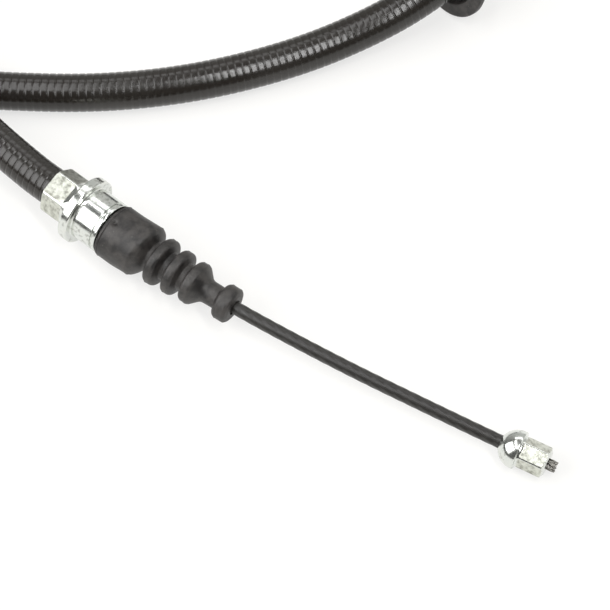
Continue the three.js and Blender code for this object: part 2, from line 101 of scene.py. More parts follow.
def smooth_curve(points):
    """The curve through the points, as its length so far, its places and its directions.

    Between p1 and p2 it is the cubic with slope
    (p1-p0)/d0 - (p2-p0)/(d0+d1) + (p2-p1)/d1 at p1, times d1, and likewise at p2, where d is the
    square root of the distance between neighbours. The ends are mirrored for a neighbour."""
    p = np.asarray(points, dtype=float)
    p = np.vstack((2 * p[0] - p[1], p, 2 * p[-1] - p[-2]))
    pace = np.sqrt(np.linalg.norm(np.diff(p, axis=0), axis=1))[:, None]
    p0, p1, p2, p3 = p[:-3], p[1:-2], p[2:-1], p[3:]
    d0, d1, d2 = pace[:-2], pace[1:-1], pace[2:]
    m1 = d1 * ((p1 - p0) / d0 - (p2 - p0) / (d0 + d1) + (p2 - p1) / d1)
    m2 = d1 * ((p2 - p1) / d1 - (p3 - p1) / (d1 + d2) + (p3 - p2) / d2)
    t = (np.arange(SAMPLES_PER_SPAN) / SAMPLES_PER_SPAN)[None, :, None]
    p1, p2, m1, m2 = (v[:, None, :] for v in (p1, p2, m1, m2))
    spans = p1 + t * m1 + t**2 * (3 * (p2 - p1) - 2 * m1 - m2) + t**3 * (2 * (p1 - p2) + m1 + m2)
    places = np.vstack((spans.reshape(-1, 3), p[-2]))
    return curve_table(places)


def curve_table(places):
    """A curve given as places: its length so far, the places, and the unit direction at each."""
    steps = np.linalg.norm(np.diff(places, axis=0), axis=1)
    so_far = np.concatenate(([0], np.cumsum(steps)))
    ahead = np.gradient(places, so_far, axis=0)
    return so_far, places, ahead / np.linalg.norm(ahead, axis=1)[:, None]


def straight(start, direction):
    """A straight curve from a start along a direction."""
    return curve_table(np.array([start, np.add(start, direction), np.add(start, 2 * direction)]))


def along(curve, stations):
    """Places and directions on a curve at these lengths. Past an end it goes on straight."""
    so_far, places, ahead = curve
    stations = np.atleast_1d(np.asarray(stations, dtype=float))
    inside = np.clip(stations, so_far[0], so_far[-1])
    place = np.stack([np.interp(inside, so_far, places[:, k]) for k in range(3)], axis=1)
    facing = np.stack([np.interp(inside, so_far, ahead[:, k]) for k in range(3)], axis=1)
    facing /= np.linalg.norm(facing, axis=1)[:, None]
    return place + (stations - inside)[:, None] * facing, facing


def heading(degrees):
    """The level unit direction of a heading."""
    turn = math.radians(degrees)
    return np.array((math.cos(turn), math.sin(turn), 0.0))


# %% Places on the table
FRONT_COLLAR, FRONT_HEADING = np.array((-54.5, 21.6, 9.1)), heading(-39.6)
REAR_COLLAR, REAR_HEADING = np.array((-49.0, 241.0, 8.0)), heading(8.0)
CONDUIT_END = -0.9       # where the conduit stops in a ferrule, from its collar's face
INSIDE_REACH = 12.0      # how far behind each collar the sliding runs start
PUSH_IN, PULL_OUT = 6.0, 12.0
END_PLAY = 1.5
CONDUIT_POINTS = [
    (-87.5, 50.9, 11.4), (-101.5, 66.5, 16.2), (-110.5, 84.0, 13.6),
    (-115.5, 105.0, 8.8), (-116.5, 128.0, 6.0), (-113.0, 155.0, 5.3), (-101.0, 184.0, 5.2),
    (-78.0, 209.0, 5.2), (-46.0, 223.5, 5.2), (-10.0, 225.0, 5.2), (23.0, 214.0, 5.2),
    (48.0, 191.0, 5.3), (60.5, 161.0, 6.0), (59.5, 130.0, 8.4), (49.0, 104.5, 11.0),
    (37.9, 92.6, 11.6), (24.8, 83.3, 9.4), (9.1, 76.1, 6.3), (-6.5, 70.0, 5.3),
    (-27.3, 64.0, 5.2), (-48.0, 60.9, 5.2), (-68.7, 60.5, 5.2), (-92.0, 62.8, 5.2),
    (-113.0, 71.0, 5.2), (-127.0, 87.0, 5.2), (-134.0, 112.0, 5.2), (-135.0, 140.0, 5.2),
    (-130.5, 169.0, 5.2), (-120.5, 195.0, 5.3), (-105.5, 217.0, 5.8), (-90.0, 230.3, 6.9),
]
FRONT_WIRE_POINTS = [
    (-46.0, 14.6, 9.1), (-36.0, 7.1, 8.85), (-27.4, 1.35, 8.5), (-17.5, -5.3, 8.15),
    (-6.7, -11.9, 7.7), (10.8, -21.9, 6.9), (28.4, -31.3, 6.1), (45.9, -40.4, 5.25),
    (51.75, -43.37, 4.97),
]


def front_at(distance):
    """The point at a distance along the front ferrule's axis from its collar's face."""
    return FRONT_COLLAR + distance * FRONT_HEADING


def rear_at(distance):
    """The point at a distance along the rear ferrule's axis from its collar's face."""
    return REAR_COLLAR + distance * REAR_HEADING


def straight_stops(travel):
    """Stations of the conduit's straight start, as long as the sliding run's reach in it."""
    run = INSIDE_REACH + travel
    return CONDUIT_END, CONDUIT_END - run / 2, CONDUIT_END - run


route = smooth_curve([
    *(front_at(stop) for stop in straight_stops(PUSH_IN)),
    *CONDUIT_POINTS,
    *(rear_at(stop) for stop in reversed(straight_stops(PULL_OUT))),
])
conduit_length = route[0][-1]
print("conduit length in mm:", round(conduit_length, 1))

# %% [markdown]
# A skin is a grid of points: row by row along a path, and round the path in columns. One
# function lays the grid and one turns grids into a mesh. A grid is closed either by joining its
# last row to its first, as on a sleeve with a wall, or by a point in the middle of each end.

# %% Grids
def skin(curve, stations, radii, columns):
    """Point (i, j) is the curve's place at station i, plus radius (i, j) towards column j.

    Column j looks at the angle 2 pi j / columns from the level direction across the curve
    towards the one above it."""
    middle, ahead = along(curve, stations)
    across = np.stack((-ahead[:, 1], ahead[:, 0], np.zeros(len(ahead))), axis=1)
    across /= np.linalg.norm(across, axis=1)[:, None]
    above = np.cross(ahead, across)
    angle = 2 * np.pi * np.arange(columns) / columns
    outwards = (np.cos(angle)[None, :, None] * across[:, None, :]
                + np.sin(angle)[None, :, None] * above[:, None, :])
    radii = np.asarray(radii, dtype=float)
    radii = radii[:, None] if radii.ndim == 1 else radii
    return middle[:, None, :] + radii[:, :, None] * outwards


def grid_faces(rows, columns, joined):
    """Corner numbers of the grid's four-sided faces, which point outwards."""
    i, j = np.meshgrid(np.arange(rows if joined else rows - 1), np.arange(columns), indexing="ij")
    here, there, following = i * columns, ((i + 1) % rows) * columns, (j + 1) % columns
    faces = np.stack((here + j, here + following, there + following, there + j), axis=-1)
    return faces.reshape(-1, 4)


def cap_faces(rows, columns):
    """Three-sided faces from each end's row to its middle point, added after the grid."""
    j = np.arange(columns)
    following = (j + 1) % columns
    first = np.full(columns, rows * columns)
    last_row = (rows - 1) * columns
    start = np.stack((following, j, first), axis=1)
    end = np.stack((last_row + j, last_row + following, first + 1), axis=1)
    return np.vstack((start, end))


def grid_map(stations, columns, girth, joined):
    """The face corners' places round and along the piece, in centimetres."""
    rows = len(stations)
    i, j = np.meshgrid(np.arange(rows if joined else rows - 1), np.arange(columns), indexing="ij")
    v = np.concatenate((stations, stations[:1]))
    u_pair, v_pair = (j, j + 1, j + 1, j), (v[i], v[i], v[i + 1], v[i + 1])
    u = np.stack(u_pair, axis=-1) * girth / columns
    return np.stack((u, np.stack(v_pair, axis=-1)), axis=-1).reshape(-1, 2) / 10


def make_mesh(name, grids, stations=None, joined=False, marks=None):
    """One mesh from grids of points that are all closed in the same way.

    marks, one number for each grid point, becomes the mesh's attribute of that name."""
    points, faces, count = [], [], 0
    for grid in grids:
        rows, columns = grid.shape[:2]
        faces.append(grid_faces(rows, columns, joined) + count)
        points.append(grid.reshape(-1, 3))
        count += rows * columns
        if not joined:
            faces.append(cap_faces(rows, columns) + count - rows * columns)
            points.append(np.stack((grid[0].mean(axis=0), grid[-1].mean(axis=0))))
            count += 2
    mesh = bpy.data.meshes.new(name)
    mesh.from_pydata(to_frame(np.vstack(points)), [], [f for group in faces for f in group.tolist()])
    mesh.polygons.foreach_set("use_smooth", np.ones(len(mesh.polygons), dtype=bool))
    if stations is not None:
        girth = 2 * np.pi * np.linalg.norm(grids[0] - grids[0].mean(axis=1, keepdims=True),
                                           axis=2).max()
        uv = np.zeros((len(mesh.loops), 2))
        mapped = grid_map(np.asarray(stations, dtype=float), grids[0].shape[1], girth, joined)
        uv[:len(mapped)] = mapped
        mesh.uv_layers.new(name="lay").data.foreach_set("uv", uv.ravel())
    for mark, values in (marks or {}).items():
        padded = np.zeros(len(mesh.vertices))
        padded[:values.size] = values.ravel()
        mesh.attributes.new(mark, "FLOAT", "POINT").data.foreach_set("value", padded)
    mesh.update()
    return mesh


def make_piece(mesh, body, slot, material, *nodes):
    """The mesh as a piece that stands for these nodes. It rides on the body, if one is given."""
    piece = bpy.data.objects.new(mesh.name, mesh)
    scene.collection.objects.link(piece)
    mesh.materials.append(material)
    if body:
        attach(piece, body)
    if nodes:
        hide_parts(*nodes)
    print(mesh.name, "faces:", len(mesh.polygons))
    return piece


# %% [markdown]
# Turned and moulded parts share one way of drawing: corners with a rounding radius. Straight
# stretches are then divided, so that rows lie close enough for dents, flats and bends.

# %% Profiles
ARC_STEP = math.radians(14)


def rounded(corners):
    """A line through (station, radius, rounding) corners, each corner replaced by an arc.

    A corner that turns by an angle f is cut back by rounding * tan(f / 2) along both sides, and
    the arc's points lie at equal angles round its middle."""
    corners = [np.array(c, dtype=float) for c in corners]
    line = [corners[0][:2]]
    for before, corner, after in zip(corners, corners[1:], corners[2:]):
        back, on = before[:2] - corner[:2], after[:2] - corner[:2]
        reach = min(np.linalg.norm(back), np.linalg.norm(on))
        back, on = back / np.linalg.norm(back), on / np.linalg.norm(on)
        turn = math.pi - math.acos(np.clip(back @ on, -1, 1))
        if corner[2] == 0 or turn < 0.01:
            line.append(corner[:2])
            continue
        cut = min(corner[2] * math.tan(turn / 2), 0.499 * reach)
        radius = cut / math.tan(turn / 2)
        inwards = (back + on) / np.linalg.norm(back + on)
        middle = corner[:2] + inwards * radius / math.cos(turn / 2)
        count = max(2, math.ceil(turn / ARC_STEP) + 1)
        half = np.linspace(-turn / 2, turn / 2, count)[:, None]
        sideways = (on - back) / np.linalg.norm(on - back)
        line.extend(middle - radius * (np.cos(half) * inwards - np.sin(half) * sideways))
    line.append(corners[-1][:2])
    return np.array(line)


def divided(line, step):
    """The line with points added so that no stretch is longer than the step."""
    pieces = []
    for a, b in zip(line[:-1], line[1:]):
        count = max(1, math.ceil(np.linalg.norm(b - a) / step))
        pieces.append(a + (b - a) * np.arange(count)[:, None] / count)
    return np.vstack((*pieces, line[-1:]))


# %% [markdown]
# Materials are built from nodes. A small function adds one node with its settings and links.
# Colours are written as sRGB hex values, as seen on the finished surface.

# %% Material tools
def colour(hex_value, alpha=1.0):
    """sRGB hex to the linear numbers that shaders work in."""
    channels = [int(hex_value[i:i + 2], 16) / 255 for i in (1, 3, 5)]
    linear = [c / 12.92 if c <= 0.04045 else ((c + 0.055) / 1.055) ** 2.4 for c in channels]
    return (*linear, alpha)


def add_node(tree, kind, inputs=None, **settings):
    """Adds a node. inputs gives its sockets a value or another node's output."""
    made = tree.nodes.new(kind)
    for key, value in settings.items():
        setattr(made, key, value)
    for socket, value in (inputs or {}).items():
        if isinstance(value, bpy.types.NodeSocket):
            tree.links.new(value, made.inputs[socket])
        else:
            made.inputs[socket].default_value = value
    return made


def start_material(name, **sockets):
    """A new material's tree and its main shader, with these values on the shader's sockets."""
    material = bpy.data.materials.new(name)
    material.use_nodes = True
    shader = material.node_tree.nodes["Principled BSDF"]
    for socket, value in sockets.items():
        shader.inputs[socket.replace("_", " ")].default_value = value
    return material, material.node_tree, shader


def finish(tree, shader, tone, rough, bump):
    """Links what a material worked out to its shader."""
    for node, output, socket in ((tone, "Result", "Base Color"), (rough, "Result", "Roughness"),
                                 (bump, "Normal", "Normal")):
        tree.links.new(node.outputs[output], shader.inputs[socket])


def per_mm(size):
    """A pattern's scale on Object coordinates, so that one feature is about this many mm."""
    return 1 / (size * MM)


# %% [markdown]
# The sheath is extruded PVC over a coil of flat steel. Drawn through a die, it's satin with
# faint streaks along its length, and handling leaves a thin haze that lightens it in patches.

# %% Sheath material
def sheath_plastic():
    material, tree, shader = start_material("pvc_extruded_satin", IOR=1.53)
    where = add_node(tree, "ShaderNodeTexCoord")
    stretched = add_node(tree, "ShaderNodeMapping", {
        "Vector": where.outputs["UV"], "Scale": (9.0, 0.5, 1.0)})
    streaks = add_node(tree, "ShaderNodeTexNoise", {
        "Vector": stretched.outputs["Vector"], "Scale": 1.0, "Detail": 4.0})
    haze = add_node(tree, "ShaderNodeTexNoise", {
        "Vector": where.outputs["Object"], "Scale": per_mm(14), "Detail": 5.0, "Roughness": 0.6})
    grain = add_node(tree, "ShaderNodeTexNoise", {
        "Vector": where.outputs["Object"], "Scale": per_mm(0.5), "Detail": 3.0})
    tone = add_node(tree, "ShaderNodeMix", {
        "Factor": streaks.outputs["Fac"], "A": colour("#1a1714"), "B": colour("#25211d")},
        data_type="RGBA")
    hazy = add_node(tree, "ShaderNodeMapRange", {
        "Value": haze.outputs["Fac"], "From Min": 0.45, "From Max": 0.75, "To Max": 0.3})
    dusted = add_node(tree, "ShaderNodeMix", {
        "Factor": hazy.outputs["Result"], "A": tone.outputs["Result"], "B": colour("#3a3835")},
        data_type="RGBA")
    rough = add_node(tree, "ShaderNodeMapRange", {
        "Value": haze.outputs["Fac"], "To Min": 0.14, "To Max": 0.3})
    bump = add_node(tree, "ShaderNodeBump", {
        "Height": grain.outputs["Fac"], "Strength": 0.12, "Distance": 0.1 * MM})
    finish(tree, shader, dusted, rough, bump)
    return material


SHEATH = sheath_plastic()

# %% [markdown]
# The sheath shows the coil under it as shallow ribs. A cylinder with a bump map would keep a
# straight outline, so the ribs are real, with seven rows of points for each, closest together
# at its groove. Weighted normals keep the top of each rib flat, so it catches a crisp highlight.

# %% Conduit
CONDUIT_RADIUS = 5.0
JACKET_WALL = 0.9
RIB_PITCH = 1.93
GROOVE_DEPTH = 0.11
GROOVE_SHARE = 0.12
RIB_ROWS = np.array((0.0, 0.08, 0.13, 0.18, 0.82, 0.87, 0.92))
CONDUIT_COLUMNS = 30
INNER_ROWS = 160

rib_count = int(conduit_length / RIB_PITCH)
rib_stations = (np.arange(rib_count)[:, None] + RIB_ROWS[None, :]).ravel() * (
    conduit_length / rib_count)


def rib_radius(stations):
    """The conduit's radius less depth * exp(-(distance / width)^4): a groove with steep sides."""
    phase = stations * rib_count / conduit_length
    from_groove = np.abs(phase - np.round(phase))
    return CONDUIT_RADIUS - GROOVE_DEPTH * np.exp(-(from_groove / GROOVE_SHARE) ** 4)


jacket_out = skin(route, rib_stations, rib_radius(rib_stations), CONDUIT_COLUMNS)
inner_stations = np.linspace(rib_stations[-1], 0, INNER_ROWS)
jacket_in = skin(
    route, inner_stations, np.full(INNER_ROWS, CONDUIT_RADIUS - JACKET_WALL), CONDUIT_COLUMNS)
conduit_mesh = make_mesh(
    "conduit_cover", [np.vstack((jacket_out, jacket_in))],
    stations=np.concatenate((rib_stations, inner_stations)), joined=True)
conduit = make_piece(conduit_mesh, "sheath", "ribbed_plastic", SHEATH, "conduit_jacket")
conduit.modifiers.new("flat_rib_tops", "WEIGHTED_NORMAL")
CRIMP_BACK = 11.05
CENTRELINE_STEP = 4.0
centreline = to_frame(along(route, np.arange(0, conduit_length, CENTRELINE_STEP))[0])

# %% [markdown]
# Under the sheath are the steel coil, the liner and the wire. They hardly show, and are smooth
# tubes on the same curve, so that none of them comes through another where the cable bends.

# %% Inner materials
def plain_material(name, low, high, mottle_mm, rough, metallic=0.0):
    """A surface whose tone and roughness drift between two limits, over patches of one size."""
    material, tree, shader = start_material(name, Metallic=metallic)
    where = add_node(tree, "ShaderNodeTexCoord")
    drift = add_node(tree, "ShaderNodeTexNoise", {
        "Vector": where.outputs["Object"], "Scale": per_mm(mottle_mm), "Detail": 4.0})
    tone = add_node(tree, "ShaderNodeMix", {
        "Factor": drift.outputs["Fac"], "A": colour(low), "B": colour(high)}, data_type="RGBA")
    gloss = add_node(tree, "ShaderNodeMapRange", {
        "Value": drift.outputs["Fac"], "To Min": rough[0], "To Max": rough[1]})
    bump = add_node(tree, "ShaderNodeBump", {
        "Height": drift.outputs["Fac"], "Strength": 0.1, "Distance": 0.05 * MM})
    finish(tree, shader, tone, gloss, bump)
    return material


LINER = plain_material("polyethylene_extruded_liner", "#d8d4c8", "#efece2", 3.0, (0.4, 0.55))
COIL_STEEL = plain_material("spring_steel_rolled", "#77746f", "#a19e98", 2.0, (0.3, 0.45), 1.0)
ROPE_STEEL = plain_material("steel_wire_drawn", "#6b6a66", "#c4c1bb", 0.6, (0.25, 0.45), 1.0)

# %% Inner tubes
ARMOUR_RADIUS, ARMOUR_WALL = 3.8, 0.6
LINER_RADIUS, LINER_WALL = 2.9, 0.5
COAT_RADIUS = 3.45 / 2
STRAND_BORE = 1.35
STRAND_RADIUS = 1.3
INNER_STEP = 1.5


def tube(name, start, end, radius, bore, columns=20):
    """A smooth tube along the conduit's route, or a rod where the bore is 0."""
    out = np.arange(start, end, INNER_STEP)
    outside = skin(route, out, np.full(len(out), radius), columns)
    if bore == 0:
        return make_mesh(name, [outside], stations=out)
    inside = skin(route, out[::-1], np.full(len(out), bore), columns)
    return make_mesh(name, [np.vstack((outside, inside))],
                     stations=np.concatenate((out, out[::-1])), joined=True)


FRONT_RUN_END = INSIDE_REACH + PUSH_IN + END_PLAY + CONDUIT_END
REAR_RUN_END = conduit_length - (INSIDE_REACH + PULL_OUT + END_PLAY + CONDUIT_END)
make_piece(tube("armour_coil", 0, conduit_length, ARMOUR_RADIUS, ARMOUR_RADIUS - ARMOUR_WALL),
           "sheath", "spring_steel", COIL_STEEL, "conduit_armour")
make_piece(tube("liner_tube", 0, conduit_length, LINER_RADIUS, LINER_RADIUS - LINER_WALL),
           "sheath", "liner_plastic", LINER, "conduit_liner")

# %% [markdown]
# The inner wire is a rope of seven strands in a thin polyamide coat. The coat is drawn tight, so
# the six outer strands show through it as low ridges that wind round once in about 20 mm. They
# catch the light as short oblique streaks.

# %% Wire coat material
def coat_plastic():
    material, tree, shader = start_material("polyamide_drawn_coat", IOR=1.53)
    where = add_node(tree, "ShaderNodeTexCoord")
    drift = add_node(tree, "ShaderNodeTexNoise", {
        "Vector": where.outputs["Object"], "Scale": per_mm(2.2), "Detail": 5.0})
    grain = add_node(tree, "ShaderNodeTexNoise", {
        "Vector": where.outputs["Object"], "Scale": per_mm(0.35), "Detail": 2.0})
    tone = add_node(tree, "ShaderNodeMix", {
        "Factor": drift.outputs["Fac"], "A": colour("#1d1c1a"), "B": colour("#2e2c29")},
        data_type="RGBA")
    rough = add_node(tree, "ShaderNodeMapRange", {
        "Value": drift.outputs["Fac"], "To Min": 0.26, "To Max": 0.42})
    bump = add_node(tree, "ShaderNodeBump", {
        "Height": grain.outputs["Fac"], "Strength": 0.15, "Distance": 0.08 * MM})
    finish(tree, shader, tone, rough, bump)
    return material


WIRE_COAT = coat_plastic()

# %% Wire coat
STRANDS_ROUND = 6
LAY_LENGTH = 20.7
RIDGE_HEIGHT = 0.075
COAT_COLUMNS = 60
COAT_STEP = 0.35


def lay_radius(stations, columns, radius, height):
    """The radius over twisted strands: |cos| of 3 times the angle less the lay's own turn."""
    angle = 2 * np.pi * np.arange(columns) / columns
    twisted = angle[None, :] - 2 * np.pi * stations[:, None] / LAY_LENGTH
    return radius - height * (1 - np.abs(np.cos(STRANDS_ROUND / 2 * twisted)))


def coated_wire(name, curve, start, end):
    """The coat over the rope: ridges outside and a smooth bore, closed at both ends."""
    out = np.arange(start, end, COAT_STEP)
    outside = skin(curve, out, lay_radius(out, COAT_COLUMNS, COAT_RADIUS, RIDGE_HEIGHT),
                   COAT_COLUMNS)
    back = np.linspace(out[-1], out[0], 60)
    inside = skin(curve, back, np.full(60, STRAND_BORE), COAT_COLUMNS)
    return make_mesh(name, [np.vstack((outside, inside))],
                     stations=np.concatenate((out, back)), joined=True)


dome_centre = np.array(FRONT_WIRE_POINTS[-1])
dome_direction = dome_centre - np.array(FRONT_WIRE_POINTS[-2])
dome_direction /= np.linalg.norm(dome_direction)
front_wire = smooth_curve(
    [front_at(-INSIDE_REACH), front_at(0), *FRONT_WIRE_POINTS])
front_wire_length = front_wire[0][-1]
COAT_STOP = -3.63
make_piece(coated_wire("wire_cover_front", front_wire, 0, front_wire_length + COAT_STOP),
           "front_core", "wire_coat", WIRE_COAT, "front_wire_coating")
make_piece(tube("wire_cover_middle", FRONT_RUN_END, REAR_RUN_END, COAT_RADIUS, STRAND_BORE),
           "sheath", "wire_coat", WIRE_COAT, "middle_wire_coating")
make_piece(tube("rope_middle", FRONT_RUN_END, REAR_RUN_END, STRAND_RADIUS, 0, 12),
           "sheath", "strand_steel", ROPE_STEEL, "middle_strand")

# %% [markdown]
# Where the rope is cut off, its wires show: seven strands of seven wires. A wire winds round its
# strand while the strand winds round the rope, so its path is one circle on another.

# %% Rope
ROPE_WIRE_RADIUS = 0.15
STRAND_CIRCLE = 1.0
WIRE_CIRCLE = 0.29
WIRE_LAY = 9.0
CUT_LENGTH = 2.1
HIDDEN_LENGTH = 1.2            # how far the separate wires reach back into the nipple
UNEVEN = (-0.3, 0.15)          # how much shorter or longer than that a wire is cut
SPLAY = 0.1                    # the share by which the cut end opens
CORE_STEP, CORE_RIDGE = 0.6, 0.2


def rope_wires(origin, direction, length, seed):
    """Grids of 49 wires. A wire's middle is the rope's axis, plus its strand's circle turned by
    station / lay, plus its own circle turned by station / its own lay."""
    random = np.random.default_rng(seed)
    axis = straight(origin, direction)
    across = np.array((-direction[1], direction[0], 0)) / np.hypot(*direction[:2])
    above = np.cross(direction, across)
    grids = []
    ring = np.arange(7)
    for strand in ring:
        for wire in ring:
            stop = length + random.uniform(*UNEVEN)
            s = np.array((0, *np.linspace(0.1, stop, 7), stop + 0.03))
            strand_turn = 2 * np.pi * (strand / 6 + s / LAY_LENGTH)
            wire_turn = 2 * np.pi * (wire / 6 + s / WIRE_LAY) + strand
            far, near = (STRAND_CIRCLE if strand < 6 else 0), (WIRE_CIRCLE if wire < 6 else 0)
            spread = 1 + SPLAY * (s / length) ** 2
            x = spread * (far * np.cos(strand_turn) + near * np.cos(wire_turn))
            y = spread * (far * np.sin(strand_turn) + near * np.sin(wire_turn))
            middle = along(axis, s)[0] + x[:, None] * across + y[:, None] * above
            radius = np.full(len(s), ROPE_WIRE_RADIUS)
            radius[-1] *= 0.6
            grids.append(skin(curve_table(middle), curve_table(middle)[0], radius, 8))
    return grids


def rope_piece(name, curve, end, origin, direction, body, node, seed):
    """The rope through the coat, as one ridged core, and its 49 wires where it is cut off."""
    s = np.arange(0, end, CORE_STEP)
    core = skin(curve, s, lay_radius(s, 36, STRAND_RADIUS, CORE_RIDGE), 36)
    wires = rope_wires(origin, direction, CUT_LENGTH + HIDDEN_LENGTH, seed)
    mesh = make_mesh(name, [core, *wires])
    return make_piece(mesh, body, "strand_steel", ROPE_STEEL, node)


NIPPLE_END = 8.05
rope_piece("rope_front", front_wire, front_wire_length + NIPPLE_END - HIDDEN_LENGTH,
           dome_centre + (NIPPLE_END - HIDDEN_LENGTH) * dome_direction, dome_direction,
           "front_core", "front_strand", 4)

# %% [markdown]
# The end fittings are turned from steel, zinc-plated and blue-passivated. Plate on a turned face
# is nearly a mirror. The crimping jaws bruise the flats, which turn duller and mottled.

# %% Zinc material
def zinc_plate():
    material, tree, shader = start_material("steel_zinc_plated_bright", Metallic=1.0)
    where = add_node(tree, "ShaderNodeTexCoord")
    pressed = add_node(tree, "ShaderNodeAttribute", attribute_name="pressed")
    cloud = add_node(tree, "ShaderNodeTexNoise", {
        "Vector": where.outputs["Object"], "Scale": per_mm(3.5), "Detail": 4.0})
    fleck = add_node(tree, "ShaderNodeTexNoise", {
        "Vector": where.outputs["Object"], "Scale": per_mm(1.3), "Detail": 4.0,
        "Roughness": 0.6})
    passive = add_node(tree, "ShaderNodeMix", {
        "Factor": cloud.outputs["Fac"], "A": colour("#d3d9d6"), "B": colour("#e6e6e0")},
        data_type="RGBA")
    bruise = add_node(tree, "ShaderNodeMapRange", {
        "Value": fleck.outputs["Fac"], "From Min": 0.32, "From Max": 0.6})
    bruised = add_node(tree, "ShaderNodeMix", {
        "Factor": bruise.outputs["Result"], "A": colour("#a0a196"), "B": colour("#d6d8ce")},
        data_type="RGBA")
    tone = add_node(tree, "ShaderNodeMix", {
        "Factor": pressed.outputs["Fac"], "A": passive.outputs["Result"],
        "B": bruised.outputs["Result"]}, data_type="RGBA")
    stain = add_node(tree, "ShaderNodeMapRange", {
        "Value": fleck.outputs["Fac"], "From Min": 0.46, "From Max": 0.36, "To Max": 0.45})
    stained = add_node(tree, "ShaderNodeMix", {
        "Factor": stain.outputs["Result"], "A": tone.outputs["Result"], "B": colour("#7d7d75")},
        data_type="RGBA")
    clean_rough = add_node(tree, "ShaderNodeMapRange", {
        "Value": cloud.outputs["Fac"], "To Min": 0.1, "To Max": 0.26})
    rough = add_node(tree, "ShaderNodeMix", {
        "Factor": pressed.outputs["Fac"], "A": clean_rough.outputs["Result"], "B": 0.3})
    wear = add_node(tree, "ShaderNodeMapRange", {
        "Value": pressed.outputs["Fac"], "To Min": 0.16, "To Max": 0.5})
    bump = add_node(tree, "ShaderNodeBump", {
        "Height": fleck.outputs["Fac"], "Strength": wear.outputs["Result"],
        "Distance": 0.12 * MM})
    finish(tree, shader, stained, rough, bump)
    return material


ZINC = zinc_plate()

# %% [markdown]
# Crimping presses six flats into a round tube. On the grid that is a limit on the radius: at an
# angle a from a flat's middle, a flat at height h allows no more than h / cos(a). The height
# rises towards the collar, so each flat runs out in an arch.

# %% Crimped fittings
FLATS = 6
RUN_OUT_RISE = 1.0
COLLAR_RISE = 0.9           # what stands this far over the flats isn't pressed
BEYOND_FLATS = 9.0


def flat_limit(stations, columns, height, start, end, run_out, turn):
    """The radius that the flats allow at each grid point."""
    angle = 2 * np.pi * np.arange(columns) / columns - math.radians(90 + turn)
    pitch = 2 * np.pi / FLATS
    from_middle = (angle + pitch / 2) % pitch - pitch / 2
    rise = np.clip((stations - end) / run_out, 0, None) ** 1.6 * RUN_OUT_RISE
    rise = rise + np.where(stations < start, BEYOND_FLATS, 0.0)
    return (height + rise)[:, None] / np.cos(from_middle)[None, :]


def turned_fitting(name, curve, corners, columns, flats=None, step=0.3):
    """A turned profile round a curve, closed in a ring, with flats pressed into its outside."""
    line = divided(rounded([*corners, corners[0]]), step)[:-1]
    stations, radius = line[:, 0], np.repeat(line[:, 1][:, None], columns, axis=1)
    pressed = np.zeros_like(radius)
    if flats:
        limit = flat_limit(stations, columns, **flats)
        outside = np.arange(len(line))[:, None] < np.argmax(stations) + 1
        outside = outside & (radius > flats["height"] - 0.01)
        collar = radius > flats["height"] + COLLAR_RISE
        cut = outside & ~collar & (limit < radius)
        pressed[cut & (stations[:, None] < flats["end"] + 0.4)] = 1.0
        radius = np.where(cut, limit, radius)
    grid = skin(curve, stations, radius, columns)
    return make_mesh(name, [grid], stations=stations, joined=True, marks={"pressed": pressed})


GUIDE_BORE = 3.15
CONDUIT_BORE = 5.12
CRIMP_RADIUS = 6.5
COLLAR_BACK, INNER_STOP = -2.6, -0.6
RING_DEPTH = 0.45              # of the groove that the boot's mouth lies next to
WIRE_BORE = 1.46               # the nipples' hold on the wire


def ferrule_corners(collar, nose, nose_length, groove, seat, seat_end):
    """A ferrule's profile: crimped sleeve, collar, nose with a groove, seat, and its bores."""
    return [
        (-CRIMP_BACK, CONDUIT_BORE, 0), (-CRIMP_BACK, CRIMP_RADIUS, 0.35),
        (COLLAR_BACK, CRIMP_RADIUS, 0.6), (COLLAR_BACK, collar, 0.4), (0, collar, 0.4),
        (0, nose, 0.35), (groove, nose, 0.1), (groove + 0.12, nose - RING_DEPTH, 0.1),
        (groove + 0.55, nose - RING_DEPTH, 0.1), (groove + 0.7, nose, 0.12),
        (nose_length, nose, 0.35), (nose_length, seat, 0.1), (seat_end, seat, 0.3),
        (seat_end, GUIDE_BORE, 0.1), (INNER_STOP, GUIDE_BORE, 0), (INNER_STOP, CONDUIT_BORE, 0),
    ]


front_axis = straight(front_at(0), FRONT_HEADING)
rear_axis = straight(rear_at(0), REAR_HEADING)
sleeve_flats = {"height": 5.75, "start": -CRIMP_BACK - 1, "end": -CRIMP_BACK + 5.8,
                "run_out": 2.4, "turn": 16}
front_ferrule_mesh = turned_fitting(
    "ferrule_front", front_axis, ferrule_corners(9.1, 7.1, 7.7, 6.1, 5.5, 13.5), 240,
    sleeve_flats)
make_piece(front_ferrule_mesh, "sheath", "zinc_plate", ZINC, "front_ferrule")
rear_ferrule_mesh = turned_fitting(
    "ferrule_rear", rear_axis, ferrule_corners(8.0, 6.3, 5.0, 3.5, 5.0, 10.0), 240,
    {**sleeve_flats, "turn": 0})
make_piece(rear_ferrule_mesh, "sheath", "zinc_plate", ZINC, "rear_ferrule")

